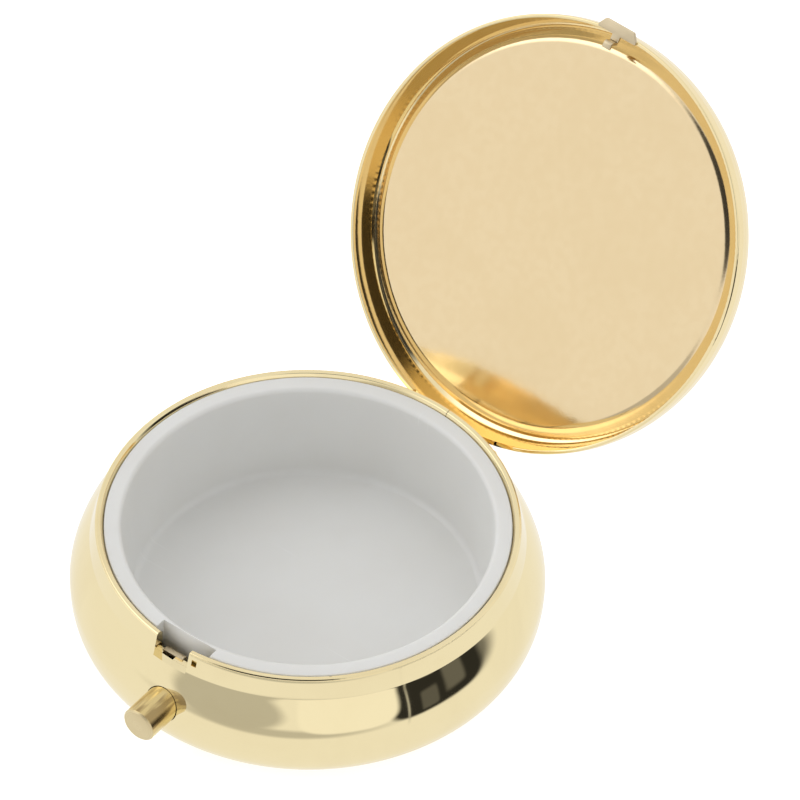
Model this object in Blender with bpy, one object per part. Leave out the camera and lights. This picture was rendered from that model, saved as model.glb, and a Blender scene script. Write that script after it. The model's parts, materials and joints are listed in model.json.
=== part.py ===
# Round push-button pill box, standing open on its flat base.
# Frame: millimetres in the sizes below, metres in the meshes, +Z up, origin at the middle of the base's
# underside. The button looks along -Y, the hinge lies at +Y and its axis runs along X.
# The lid is modelled closed, round its hinge axis, and then swung open by its parent empty.

import math

import bmesh
import bpy
from mathutils import Matrix, Vector

MM = 0.001

# ---- driving sizes, mm and degrees -------------------------------------------------------------
FIT_GAP = 0.3              # between pieces that rest on each other
RUN_GAP = 0.15             # between pieces that slide or turn on each other

RIM_INNER_RADIUS = 21.5    # the upright rim sets the width of the box
RIM_TOP = 13.6             # and its height
RIM_WALL = 0.5
RIM_STAND = 2.6            # rim showing above the shell
RIM_TUCK = 2.0             # rim hidden inside the shell
BEAD_STEP = 0.35           # the milled bead stands out this much from the rim
BEAD_HEIGHT = 0.75
NOTCH_LEFT = -2.6          # gap in the rim over the catch
NOTCH_RIGHT = 1.7
NOTCH_DEPTH = 3.0
WINDOW_LEFT = 2.05         # small window beside the gap
WINDOW_WIDTH = 0.6
WINDOW_DROP = 0.5
WINDOW_HEIGHT = 1.1

LID_OPEN_ANGLE = 128.0
LID_BEAD_GAP = 0.49        # the lid's edge clears the bead by this much
LID_SEAT_GAP = 0.65        # and stands this far above the shell when closed
LID_EDGE_WALL = 0.4
LID_TAPER = 0.64           # the lid's inner wall leans in by this much
LEDGE_DEPTH = 3.4          # depth at which the panel is crimped in
CREST_DEPTH = 4.25
CREST_WIDTH = 0.65
PANEL_STEP = 1.86          # width of the rounded step round the panel
PANEL_DEPTH = 2.23
PANEL_THICK = 0.35
HINGE_RELIEF = 0.45        # the lid's edge is cut back this much over the hinge

SHELL_WALL = 0.45
SHOULDER_INSET = 0.09      # the shoulder lies this far inside the lid's outline
SHOULDER_DROP = 0.2
SHOULDER_BEND = 1.65       # exponent of the curve from belt to shoulder
BELLY_BULGE = 1.85         # the belt stands out this much from the shoulder
BELT_HEIGHT = 5.6
FOOT_INSET = 5.5
LOWER_ROUNDNESS = 2.6      # exponent of the curve from belt to foot

TRAY_DROP = 0.26           # the tray's land lies this far under the rim
TRAY_LAND_WIDTH = 1.6
TRAY_LAND_THICK = 1.3
TRAY_DRAFT = 1.02          # the tray narrows this much down to its floor
TRAY_FLOOR_THICK = 1.01
TRAY_WALL = 1.1
TRAY_EDGE_ROUND = 0.35
POCKET_WIDTH = 7.0         # pocket moulded in the tray behind the catch
POCKET_WEB = 0.35          # wall left between the pocket and the bowl

BUTTON_RADIUS = 1.95
BUTTON_PROUD = 3.9
BUTTON_CHAMFER = 0.18
SHANK_RADIUS = 0.65
RIVET_RADIUS = 1.0
RIVET_HEIGHT = 0.3
RIVET_DROP = 0.65          # the rivet sits this far under the catch plate's jog

STRIP_THICK = 0.35         # sheet of the catch plate
CATCH_LEFT = -2.2
CATCH_RIGHT = 2.0
CATCH_LEG = 2.7            # the leg reaches this far below the button's axis
CATCH_TOP_DROP = 2.4       # the nose lies this far under the rim
NOSE_OVERLAP = 0.25        # the nose reaches this far past the rim's inside
NOSE_RIGHT = 0.35

SPRING_HALF_WIDTH = 1.5
SPRING_THICK = 0.3
SPRING_LEAN = 1.75
SPRING_FOOT_LENGTH = 1.3
SPRING_OVER_BUTTON = 0.4

HINGE_HALF_WIDTH = 6.4
LID_KNUCKLE_HALF = 3.0
KNUCKLE_RADIUS = 0.9
PIN_RADIUS = 0.4
PIN_OVERHANG = 0.15
LEAF_THICK = 0.35
LID_LEAF_REACH = 2.0       # how far the lid's leaf climbs the lid's edge
AXIS_UNDER_LID = 3.15      # hinge axis below the closed lid's edge
STOP_DROP = 2.6            # lower lip of the hinge slot, where the open lid's leaf stops

TAB_CENTRE = -1.3
TAB_ROOT_WIDTH = 4.9
TAB_TIP_WIDTH = 3.7
TAB_REACH = 0.75           # how far the tab stands out past the lid's edge
TAB_ROOT_OVERLAP = 0.35     # and how far it reaches in under the lid's edge
TAB_THICK = 0.35
KEEPER_WIDTH = 1.2
KEEPER_THICK = 0.3
KEEPER_LENGTH = 1.55
NIB_REACH = 0.55

TURNS = 64                 # facets round the big pieces
SMALL_TURNS = 24           # facets round pins and knuckles

# ---- sizes that follow from them ---------------------------------------------------------------
RIM_OUTER_RADIUS = RIM_INNER_RADIUS + RIM_WALL
BEAD_RADIUS = RIM_OUTER_RADIUS + BEAD_STEP
SHELL_TOP = RIM_TOP - RIM_STAND
RIM_BOTTOM = SHELL_TOP - RIM_TUCK
NOTCH_BOTTOM = RIM_TOP - NOTCH_DEPTH

LID_EDGE_RADIUS = BEAD_RADIUS + LID_BEAD_GAP
LID_OUTER_RADIUS = LID_EDGE_RADIUS + LID_EDGE_WALL
LID_EDGE_HEIGHT = SHELL_TOP + LID_SEAT_GAP
LEDGE_RADIUS = LID_EDGE_RADIUS - LID_TAPER
CREST_RADIUS = LEDGE_RADIUS - PANEL_THICK - 0.25
CREST_INNER_RADIUS = CREST_RADIUS - CREST_WIDTH
PANEL_RADIUS = LEDGE_RADIUS - PANEL_STEP

SHOULDER_RADIUS = LID_OUTER_RADIUS - SHOULDER_INSET
SHOULDER_HEIGHT = SHELL_TOP - SHOULDER_DROP
BELT_RADIUS = SHOULDER_RADIUS + BELLY_BULGE
FOOT_RADIUS = BELT_RADIUS - FOOT_INSET      # flat underside that the box stands on
FAR = BELT_RADIUS + 5.0                     # past everything, for cuts

TRAY_OUTER_RADIUS = RIM_INNER_RADIUS - FIT_GAP
TRAY_LAND_RADIUS = TRAY_OUTER_RADIUS - TRAY_LAND_WIDTH
TRAY_FLOOR_RADIUS = TRAY_LAND_RADIUS - TRAY_DRAFT
TRAY_FOOT = SHELL_WALL + FIT_GAP
POCKET_Y = -TRAY_LAND_RADIUS - POCKET_WEB

CATCH_TOP = RIM_TOP - CATCH_TOP_DROP
CATCH_JOG_TOP = RIM_BOTTOM - RUN_GAP - 0.1
BUTTON_HEIGHT = CATCH_JOG_TOP - STRIP_THICK - RIVET_RADIUS - RIVET_DROP
POCKET_BOTTOM = CATCH_JOG_TOP - STRIP_THICK - 0.8
CATCH_RISER_Y = -RIM_INNER_RADIUS + STRIP_THICK
CATCH_NOSE_Y = -RIM_INNER_RADIUS - NOSE_OVERLAP

HINGE_Y = RIM_OUTER_RADIUS + FIT_GAP + KNUCKLE_RADIUS
HINGE_Z = LID_EDGE_HEIGHT - AXIS_UNDER_LID
SLOT_BOTTOM = HINGE_Z - KNUCKLE_RADIUS - 0.2
SLOT_STOP = HINGE_Z - STOP_DROP


# ---- helpers -----------------------------------------------------------------------------------
def clear_scene():
    for obj in list(bpy.data.objects):
        bpy.data.objects.remove(obj, do_unlink=True)


def plain_material(name, colour, roughness, metallic):
    mat = bpy.data.materials.new(name)
    mat.use_nodes = True
    shader = mat.node_tree.nodes["Principled BSDF"]
    shader.inputs["Base Color"].default_value = (*colour, 1.0)
    shader.inputs["Roughness"].default_value = roughness
    shader.inputs["Metallic"].default_value = metallic
    return mat


def add_object(name, mesh, mat=None, parent=None, place=(0.0, 0.0, 0.0)):
    obj = bpy.data.objects.new(name, mesh)
    bpy.context.scene.collection.objects.link(obj)
    obj.location = Vector(place) * MM
    obj.parent = parent
    if mat is not None:
        mesh.materials.append(mat)
    return obj


def add_pivot(name, place):
    pivot = bpy.data.objects.new(name, None)
    bpy.context.scene.collection.objects.link(pivot)
    pivot.location = Vector(place) * MM
    return pivot


def shade(obj, angle=35.0):
    obj.data.shade_smooth()
    obj.data.set_sharp_from_angle(angle=math.radians(angle))


# Turned solid: the profile's (radius, height) points, given down the outer side, are screwed once round Z.
def turned(name, profile, mat, closed=True, turns=TURNS, parent=None, place=(0.0, 0.0, 0.0)):
    mesh = bpy.data.meshes.new(name)
    verts = [(r * MM, 0.0, z * MM) for r, z in profile]
    edges = [(i, i + 1) for i in range(len(verts) - 1)]
    if closed:
        edges.append((len(verts) - 1, 0))
    mesh.from_pydata(verts, edges, [])
    obj = add_object(name, mesh, mat, parent, place)
    screw = obj.modifiers.new("turn", "SCREW")
    screw.axis = "Z"
    screw.angle = math.tau
    screw.steps = turns
    screw.render_steps = turns
    screw.use_merge_vertices = True
    screw.merge_threshold = 0.000001
    screw.use_smooth_shade = True
    return obj


# Bent strip: an outline in the Y-Z plane, given anticlockwise seen from +X, extruded along X.
def strip(name, outline, left, right, mat, parent=None, place=(0.0, 0.0, 0.0)):
    bm = bmesh.new()
    face = bm.faces.new([bm.verts.new((left * MM, y * MM, z * MM)) for y, z in outline])
    grown = bmesh.ops.extrude_face_region(bm, geom=[face])
    moved = [v for v in grown["geom"] if isinstance(v, bmesh.types.BMVert)]
    bmesh.ops.translate(bm, verts=moved, vec=((right - left) * MM, 0.0, 0.0))
    bmesh.ops.recalc_face_normals(bm, faces=bm.faces)
    mesh = bpy.data.meshes.new(name)
    bm.to_mesh(mesh)
    bm.free()
    return add_object(name, mesh, mat, parent, place)


def box_mesh(name, low, high):
    bm = bmesh.new()
    bmesh.ops.create_cube(bm, size=1.0)
    size = [(b - a) * MM for a, b in zip(low, high)]
    middle = Vector([(a + b) / 2 * MM for a, b in zip(low, high)])
    bmesh.ops.scale(bm, vec=size, verts=bm.verts)
    bmesh.ops.translate(bm, vec=middle, verts=bm.verts)
    mesh = bpy.data.meshes.new(name)
    bm.to_mesh(mesh)
    bm.free()
    return mesh


def rod_mesh(name, radius, start, end, axis="X", turns=SMALL_TURNS):
    bm = bmesh.new()
    bmesh.ops.create_cone(bm, cap_ends=True, segments=turns, radius1=radius * MM, radius2=radius * MM,
                          depth=(end - start) * MM)
    bmesh.ops.translate(bm, vec=(0.0, 0.0, (start + end) / 2 * MM), verts=bm.verts)
    about = "Y" if axis == "X" else "X"
    bmesh.ops.rotate(bm, matrix=Matrix.Rotation(math.radians(90), 3, about), verts=bm.verts)
    mesh = bpy.data.meshes.new(name)
    bm.to_mesh(mesh)
    bm.free()
    return mesh


# Cutters and added bodies are hidden guides that a Boolean reads.
def guide(name, mesh, parent=None, place=(0.0, 0.0, 0.0)):
    obj = add_object(name, mesh, None, parent, place)
    obj.hide_render = True
    obj.display_type = "WIRE"
    return obj


def boolean(obj, other, operation):
    mod = obj.modifiers.new(operation.lower(), "BOOLEAN")
    mod.operation = operation
    mod.solver = "EXACT"
    mod.object = other


def cut_box(obj, low, high, parent=None, place=(0.0, 0.0, 0.0)):
    name = "cut_" + obj.name + "_" + str(len(obj.modifiers))
    boolean(obj, guide(name, box_mesh(name, low, high), parent, place), "DIFFERENCE")


# ---- profiles ----------------------------------------------------------------------------------
# Belly radius at a height: a power curve above the belt, a superellipse down to the foot below it.
def belly_radius(height):
    if height >= BELT_HEIGHT:
        rise = (height - BELT_HEIGHT) / (SHOULDER_HEIGHT - BELT_HEIGHT)
        return BELT_RADIUS - (BELT_RADIUS - SHOULDER_RADIUS) * rise ** SHOULDER_BEND
    fall = (BELT_HEIGHT - height) / BELT_HEIGHT
    reach = (1.0 - fall ** LOWER_ROUNDNESS) ** (1.0 / LOWER_ROUNDNESS)
    return FOOT_RADIUS + (BELT_RADIUS - FOOT_RADIUS) * reach


# Outer belly points from the shoulder down to the foot; below the belt they are spread by angle.
def belly_points(upper=6, lower=9):
    points = []
    for i in range(upper):
        z = SHOULDER_HEIGHT + (BELT_HEIGHT - SHOULDER_HEIGHT) * i / upper
        points.append((belly_radius(z), z))
    for i in range(lower + 1):
        angle = math.pi / 2 * i / lower
        power = 2.0 / LOWER_ROUNDNESS
        r = FOOT_RADIUS + (BELT_RADIUS - FOOT_RADIUS) * max(math.cos(angle), 0.0) ** power
        z = BELT_HEIGHT * (1.0 - math.sin(angle) ** power)
        points.append((r, z))
    return points


# Where the button's axis meets the belly, and the flat of the catch plate just inside the shell's wall.
def button_seat_y():
    return -belly_radius(BUTTON_HEIGHT)


def catch_face_y():
    inside = belly_radius(CATCH_JOG_TOP) - SHELL_WALL - RUN_GAP
    return -math.sqrt(inside ** 2 - CATCH_LEFT ** 2)


# The bend that the spring flexes about.
def spring_root():
    return catch_face_y() + SPRING_LEAN, SHELL_WALL + FIT_GAP + SPRING_THICK / 2 + 0.05


# The same curve moved inward by the wall, each point along its own normal.
def offset_inward(points, wall):
    moved = []
    for i, (r, z) in enumerate(points):
        r0, z0 = points[max(i - 1, 0)]
        r1, z1 = points[min(i + 1, len(points) - 1)]
        length = math.hypot(r1 - r0, z1 - z0)
        moved.append((r + (z1 - z0) / length * wall, z - (r1 - r0) / length * wall))
    return moved


# ---- base --------------------------------------------------------------------------------------
def base_shell(mat):
    outer = belly_points()
    inner = offset_inward(outer[:-1], SHELL_WALL)
    lip = RIM_OUTER_RADIUS + FIT_GAP
    profile = [(0.0, SHELL_WALL), (FOOT_RADIUS, SHELL_WALL)]
    top = SHOULDER_HEIGHT - 0.6
    profile += [p for p in reversed(inner) if p[0] > FOOT_RADIUS and SHELL_WALL < p[1] < top]
    profile += [(lip, SHELL_TOP - SHELL_WALL), (lip, SHELL_TOP), (lip + 0.5, SHELL_TOP)]
    profile += outer + [(0.0, 0.0)]
    shell = turned("base_shell", profile, mat, closed=False)
    drill = rod_mesh("cut_button_hole", BUTTON_RADIUS + RUN_GAP, FOOT_RADIUS, FAR, "Y")
    bore = guide("cut_button_hole", drill, None, (0.0, 0.0, BUTTON_HEIGHT))
    boolean(shell, bore, "DIFFERENCE")
    half = HINGE_HALF_WIDTH + FIT_GAP
    cut_box(shell, (-half, FOOT_RADIUS, SLOT_BOTTOM), (half, FAR, RIM_TOP))
    narrow = LID_KNUCKLE_HALF + FIT_GAP
    cut_box(shell, (-narrow, FOOT_RADIUS, SLOT_STOP), (narrow, FAR, SLOT_BOTTOM + 0.5))
    shade(shell)
    return shell


def base_rim_ring(mat):
    outside = RIM_OUTER_RADIUS
    profile = [
        (RIM_INNER_RADIUS + 0.15, RIM_TOP),
        (BEAD_RADIUS - 0.2, RIM_TOP),
        (BEAD_RADIUS, RIM_TOP - 0.2),
        (BEAD_RADIUS, RIM_TOP - BEAD_HEIGHT + 0.15),
        (outside, RIM_TOP - BEAD_HEIGHT - 0.1),
        (outside, RIM_BOTTOM),
        (RIM_INNER_RADIUS, RIM_BOTTOM),
        (RIM_INNER_RADIUS, RIM_TOP - 0.15),
    ]
    ring = turned("base_rim_ring", profile, mat)
    near, far = -TRAY_LAND_RADIUS, -FAR
    cut_box(ring, (NOTCH_LEFT, far, NOTCH_BOTTOM), (NOTCH_RIGHT, near, RIM_TOP + 1.0))
    side = KEEPER_WIDTH / 2 + 0.5
    cut_box(ring, (TAB_CENTRE - side, far, RIM_BOTTOM + 0.9), (TAB_CENTRE + side, near, NOTCH_BOTTOM + 0.5))
    top = RIM_TOP - WINDOW_DROP
    cut_box(ring, (WINDOW_LEFT, far, top - WINDOW_HEIGHT), (WINDOW_LEFT + WINDOW_WIDTH, near, top))
    shade(ring)
    return ring


def pill_tray(mat):
    top = RIM_TOP - TRAY_DROP
    outside = TRAY_OUTER_RADIUS
    foot = TRAY_FOOT
    floor = foot + TRAY_FLOOR_THICK
    wall_top = top - TRAY_LAND_THICK
    profile = [(0.0, floor), (TRAY_FLOOR_RADIUS - 0.5, floor), (TRAY_FLOOR_RADIUS - 0.15, floor + 0.12),
               (TRAY_FLOOR_RADIUS, floor + 0.45),
               (TRAY_LAND_RADIUS - TRAY_EDGE_ROUND, top - TRAY_EDGE_ROUND),
               (TRAY_LAND_RADIUS - 0.3 * TRAY_EDGE_ROUND, top - 0.3 * TRAY_EDGE_ROUND),
               (TRAY_LAND_RADIUS, top),
               (outside - 0.1, top), (outside, top - 0.1), (outside, wall_top),
               (TRAY_LAND_RADIUS - TRAY_EDGE_ROUND + TRAY_WALL, wall_top - 0.3),
               (TRAY_FLOOR_RADIUS + TRAY_WALL, foot + 0.9),
               (TRAY_FLOOR_RADIUS + TRAY_WALL - 0.6, foot), (0.0, foot)]
    tray = turned("pill_tray", profile, mat, closed=False)
    half = POCKET_WIDTH / 2
    cut_box(tray, (-half, -FAR, POCKET_BOTTOM), (half, POCKET_Y, RIM_TOP + 1.0))
    shade(tray)
    return tray


# ---- push button and catch ---------------------------------------------------------------------
def button_pin(mat, parent):
    back = button_seat_y() - catch_face_y() + RUN_GAP
    head = back - 2 * RUN_GAP - STRIP_THICK
    end = head - RIVET_HEIGHT
    profile = [(0.0, end), (RIVET_RADIUS, end), (RIVET_RADIUS, head), (SHANK_RADIUS, head),
               (SHANK_RADIUS, back), (BUTTON_RADIUS, back), (BUTTON_RADIUS, BUTTON_PROUD - BUTTON_CHAMFER),
               (BUTTON_RADIUS - BUTTON_CHAMFER, BUTTON_PROUD), (0.0, BUTTON_PROUD)]
    pin = turned("button_pin", list(reversed(profile)), mat, closed=False, turns=32, parent=parent)
    pin.rotation_euler = (math.radians(90), 0.0, 0.0)
    shade(pin)
    return pin


def catch_plate(mat, parent):
    origin_y, origin_z = button_seat_y(), BUTTON_HEIGHT
    t = STRIP_THICK
    face, riser, nose, low = catch_face_y(), CATCH_RISER_Y, CATCH_NOSE_Y, BUTTON_HEIGHT - CATCH_LEG
    outline = [(face, low), (face + t, low), (face + t, CATCH_JOG_TOP - t),
               (riser + t, CATCH_JOG_TOP - t), (riser + t, CATCH_TOP), (nose, CATCH_TOP),
               (nose, CATCH_TOP - t), (riser, CATCH_TOP - t), (riser, CATCH_JOG_TOP), (face, CATCH_JOG_TOP)]
    outline = [(y - origin_y, z - origin_z) for y, z in outline]
    plate = strip("catch_plate", outline, CATCH_LEFT, CATCH_RIGHT, mat, parent)
    above_jog = CATCH_JOG_TOP - origin_z + 0.05
    cut_box(plate, (NOSE_RIGHT, -1.0, above_jog), (CATCH_RIGHT + 1.0, 6.0, RIM_TOP), parent)
    drill = rod_mesh("cut_shank_hole", SHANK_RADIUS + RUN_GAP, -3.0, 0.5, "Y")
    boolean(plate, guide("cut_shank_hole", drill, parent), "DIFFERENCE")
    return plate


def catch_spring(mat, parent):
    root_y, root_z = spring_root()
    t = SPRING_THICK / 2
    tip_y = catch_face_y() + STRIP_THICK + RUN_GAP + RIVET_HEIGHT + RUN_GAP - root_y
    tip_z = BUTTON_HEIGHT + SPRING_OVER_BUTTON - root_z
    outline = [(-t, -t), (SPRING_FOOT_LENGTH, -t), (SPRING_FOOT_LENGTH, t), (t, t),
               (tip_y + 2 * t, tip_z - 0.4), (tip_y + 2 * t + 0.1, tip_z),
               (tip_y + 0.1, tip_z), (tip_y, tip_z - 0.4)]
    return strip("catch_spring", outline, -SPRING_HALF_WIDTH, SPRING_HALF_WIDTH, mat, parent)


# ---- hinge -------------------------------------------------------------------------------------
# Knuckles are rods joined to a leaf; the bore for the pin is cut last.
def add_knuckle(obj, start, end, parent=None, place=(0.0, 0.0, 0.0)):
    name = "join_" + obj.name + "_" + str(len(obj.modifiers))
    boolean(obj, guide(name, rod_mesh(name, KNUCKLE_RADIUS, start, end), parent, place), "UNION")


def bore_knuckle(obj, parent=None, place=(0.0, 0.0, 0.0)):
    name = "cut_" + obj.name + "_bore"
    bore = rod_mesh(name, PIN_RADIUS + RUN_GAP, -HINGE_HALF_WIDTH - 1.0, HINGE_HALF_WIDTH + 1.0)
    boolean(obj, guide(name, bore, parent, place), "DIFFERENCE")


def hinge_base_leaf(mat):
    place = (0.0, HINGE_Y, HINGE_Z)
    low = (-HINGE_HALF_WIDTH, -KNUCKLE_RADIUS, 0.0)
    high = (HINGE_HALF_WIDTH, -KNUCKLE_RADIUS + LEAF_THICK, SHELL_TOP - HINGE_Z)
    leaf = add_object("hinge_base_leaf", box_mesh("hinge_base_leaf", low, high), mat, None, place)
    inner = LID_KNUCKLE_HALF + FIT_GAP
    cut_box(leaf, (-inner, -2.0, -1.0), (inner, 2.0, KNUCKLE_RADIUS + FIT_GAP), None, place)
    add_knuckle(leaf, inner, HINGE_HALF_WIDTH, None, place)
    add_knuckle(leaf, -HINGE_HALF_WIDTH, -inner, None, place)
    bore_knuckle(leaf, None, place)
    return leaf


def hinge_pin(mat):
    end = HINGE_HALF_WIDTH + PIN_OVERHANG
    rod = rod_mesh("hinge_pin", PIN_RADIUS, -end, end)
    pin = add_object("hinge_pin", rod, mat, None, (0.0, HINGE_Y, HINGE_Z))
    shade(pin)
    return pin


def hinge_lid_leaf(mat, parent):
    face = LID_OUTER_RADIUS + FIT_GAP - HINGE_Y
    low = (-LID_KNUCKLE_HALF, face, 0.0)
    high = (LID_KNUCKLE_HALF, face + LEAF_THICK, AXIS_UNDER_LID + LID_LEAF_REACH)
    leaf = add_object("hinge_lid_leaf", box_mesh("hinge_lid_leaf", low, high), mat, parent)
    add_knuckle(leaf, -LID_KNUCKLE_HALF, LID_KNUCKLE_HALF, parent)
    bore_knuckle(leaf, parent)
    return leaf


# ---- lid (closed, round the hinge axis) --------------------------------------------------------
def lid_bezel(mat, parent, centre):
    outside = LID_OUTER_RADIUS
    panel_seat = LEDGE_DEPTH + PANEL_THICK
    profile = [
        (CREST_INNER_RADIUS, CREST_DEPTH - 0.1),
        (CREST_RADIUS, CREST_DEPTH),
        (LEDGE_RADIUS, CREST_DEPTH - 0.3),
        (LEDGE_RADIUS + 0.6, LEDGE_DEPTH - 0.15),
        (outside - 0.15, 2.2),
        (outside, 1.2),
        (outside, 0.12),
        (outside - 0.12, 0.0),
        (LID_EDGE_RADIUS + 0.08, 0.0),
        (LID_EDGE_RADIUS, 0.12),
        (LEDGE_RADIUS + 0.05, LEDGE_DEPTH - 0.2),
        (LEDGE_RADIUS - 0.02, LEDGE_DEPTH),
        (LEDGE_RADIUS - 0.1, panel_seat - 0.1),
        (CREST_RADIUS - 0.2, panel_seat + 0.12),
        (CREST_INNER_RADIUS, panel_seat + 0.12),
    ]
    bezel = turned("lid_bezel", profile, mat, parent=parent, place=centre)
    half = HINGE_HALF_WIDTH + FIT_GAP
    cut_box(bezel, (-half, FOOT_RADIUS - 2.0, -1.0), (half, FAR, HINGE_RELIEF), parent, centre)
    shade(bezel)
    return bezel


# The panel is a dish: a flat disc with a rounded step up to the edge that the bezel holds.
def lid_panel(mat, parent, centre):
    edge = LEDGE_RADIUS - 0.35
    t = PANEL_THICK
    profile = [
        (0.0, PANEL_DEPTH),
        (0.0, PANEL_DEPTH + t),
        (PANEL_RADIUS - 0.45, PANEL_DEPTH + t),
        (PANEL_RADIUS - 0.05, PANEL_DEPTH + t + 0.35),
        (PANEL_RADIUS + 0.25, LEDGE_DEPTH - 0.1),
        (PANEL_RADIUS + 0.6, LEDGE_DEPTH + t - 0.15),
        (edge, LEDGE_DEPTH + t - 0.15),
        (edge, LEDGE_DEPTH - 0.15),
        (PANEL_RADIUS + 0.85, LEDGE_DEPTH - 0.2),
        (PANEL_RADIUS + 0.5, LEDGE_DEPTH - 0.5),
        (PANEL_RADIUS + 0.2, PANEL_DEPTH + 0.25),
        (PANEL_RADIUS - 0.2, PANEL_DEPTH),
    ]
    panel = turned("lid_panel", profile[1:] + profile[:1], mat, closed=False, parent=parent, place=centre)
    shade(panel)
    return panel


# The tab is a flat trapezium under the lid's edge, with a keeper tongue that reaches down to the catch.
def lid_tab(mat, parent, centre):
    tongue_y = -RIM_OUTER_RADIUS + 0.2
    neck_y = tongue_y - KEEPER_THICK + 0.1
    root_y = -LID_EDGE_RADIUS + TAB_ROOT_OVERLAP
    tip_y = -LID_OUTER_RADIUS - TAB_REACH
    low, high = -TAB_THICK - RUN_GAP, -RUN_GAP
    corners = [(-TAB_ROOT_WIDTH / 2, root_y), (-KEEPER_WIDTH / 2, root_y), (-KEEPER_WIDTH / 2, neck_y),
               (KEEPER_WIDTH / 2, neck_y), (KEEPER_WIDTH / 2, root_y), (TAB_ROOT_WIDTH / 2, root_y),
               (TAB_ROOT_WIDTH / 2, tip_y + 0.9), (TAB_TIP_WIDTH / 2, tip_y),
               (-TAB_TIP_WIDTH / 2, tip_y), (-TAB_ROOT_WIDTH / 2, tip_y + 0.9)]
    bm = bmesh.new()
    face = bm.faces.new([bm.verts.new(((x + TAB_CENTRE) * MM, y * MM, low * MM)) for x, y in corners])
    grown = bmesh.ops.extrude_face_region(bm, geom=[face])
    moved = [v for v in grown["geom"] if isinstance(v, bmesh.types.BMVert)]
    bmesh.ops.translate(bm, verts=moved, vec=(0.0, 0.0, (high - low) * MM))
    bmesh.ops.recalc_face_normals(bm, faces=bm.faces)
    mesh = bpy.data.meshes.new("lid_tab")
    bm.to_mesh(mesh)
    bm.free()
    tab = add_object("lid_tab", mesh, mat, parent, centre)
    outline = [(tongue_y - KEEPER_THICK, high - 0.05), (tongue_y - KEEPER_THICK, -KEEPER_LENGTH),
               (tongue_y + NIB_REACH, -KEEPER_LENGTH), (tongue_y + NIB_REACH, -KEEPER_LENGTH + 0.35),
               (tongue_y, -KEEPER_LENGTH + 0.45), (tongue_y, high - 0.05)]
    left, right = TAB_CENTRE - KEEPER_WIDTH / 2, TAB_CENTRE + KEEPER_WIDTH / 2
    keeper = strip("join_lid_tab", outline, left, right, None, parent, centre)
    keeper.hide_render = True
    keeper.display_type = "WIRE"
    boolean(tab, keeper, "UNION")
    return tab


# ---- assembly ----------------------------------------------------------------------------------
def build():
    clear_scene()
    gold = plain_material("polished_pale_gold", (0.90, 0.76, 0.46), 0.10, 1.0)
    rim_gold = plain_material("milled_gold", (0.86, 0.66, 0.30), 0.18, 1.0)
    satin = plain_material("satin_cream_gold", (0.88, 0.76, 0.52), 0.34, 1.0)
    brass = plain_material("button_brass", (0.80, 0.66, 0.36), 0.24, 1.0)
    dull = plain_material("dull_catch_brass", (0.66, 0.60, 0.46), 0.38, 1.0)
    steel = plain_material("spring_steel", (0.62, 0.62, 0.60), 0.30, 1.0)
    plastic = plain_material("tray_plastic", (0.78, 0.78, 0.75), 0.42, 0.0)

    base_shell(gold)
    base_rim_ring(rim_gold)
    pill_tray(plastic)
    hinge_base_leaf(rim_gold)
    hinge_pin(steel)

    latch = add_pivot("latch_slide", (0.0, button_seat_y(), BUTTON_HEIGHT))
    button_pin(brass, latch)
    catch_plate(dull, latch)
    flexure = add_pivot("spring_flexure", (0.0, *spring_root()))
    catch_spring(steel, flexure)

    lid = add_pivot("lid_pivot", (0.0, HINGE_Y, HINGE_Z))
    centre = (0.0, -HINGE_Y, AXIS_UNDER_LID)
    lid_bezel(gold, lid, centre)
    lid_panel(satin, lid, centre)
    lid_tab(dull, lid, centre)
    hinge_lid_leaf(rim_gold, lid)
    lid.rotation_euler = (math.radians(-LID_OPEN_ANGLE), 0.0, 0.0)


build()
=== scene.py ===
import json
import math

import bmesh
import bpy
import numpy as np
from mathutils import Matrix, Vector


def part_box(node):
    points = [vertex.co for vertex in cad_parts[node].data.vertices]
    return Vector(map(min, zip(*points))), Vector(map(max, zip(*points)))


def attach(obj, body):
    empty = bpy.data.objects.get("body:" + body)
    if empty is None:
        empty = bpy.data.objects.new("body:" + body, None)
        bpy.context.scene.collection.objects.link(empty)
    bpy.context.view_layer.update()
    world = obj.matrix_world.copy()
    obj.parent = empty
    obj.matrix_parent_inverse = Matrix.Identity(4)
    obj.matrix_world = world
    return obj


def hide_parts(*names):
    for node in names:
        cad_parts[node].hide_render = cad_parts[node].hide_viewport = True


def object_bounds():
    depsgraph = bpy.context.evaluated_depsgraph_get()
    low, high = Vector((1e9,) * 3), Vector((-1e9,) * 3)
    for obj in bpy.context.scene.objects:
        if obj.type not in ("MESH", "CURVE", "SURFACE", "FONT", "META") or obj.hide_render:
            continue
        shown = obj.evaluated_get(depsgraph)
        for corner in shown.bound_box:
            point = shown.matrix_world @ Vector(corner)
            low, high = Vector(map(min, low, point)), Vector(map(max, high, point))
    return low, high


# Looks of the round push-button pill box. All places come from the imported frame; sizes below are in mm
# and degrees, and mm turns them into metres.
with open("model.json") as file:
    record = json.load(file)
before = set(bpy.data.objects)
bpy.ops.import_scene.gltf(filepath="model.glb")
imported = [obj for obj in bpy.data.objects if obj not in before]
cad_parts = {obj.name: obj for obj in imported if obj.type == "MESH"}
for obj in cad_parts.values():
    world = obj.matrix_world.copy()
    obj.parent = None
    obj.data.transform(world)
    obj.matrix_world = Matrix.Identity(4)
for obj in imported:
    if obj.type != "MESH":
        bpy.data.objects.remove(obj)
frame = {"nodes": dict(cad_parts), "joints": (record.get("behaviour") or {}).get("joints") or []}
cadLow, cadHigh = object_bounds()
mm = 0.001
print("frame loaded, box in mm:", [round(v / mm, 2) for v in (*cadLow, *cadHigh)])

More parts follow.
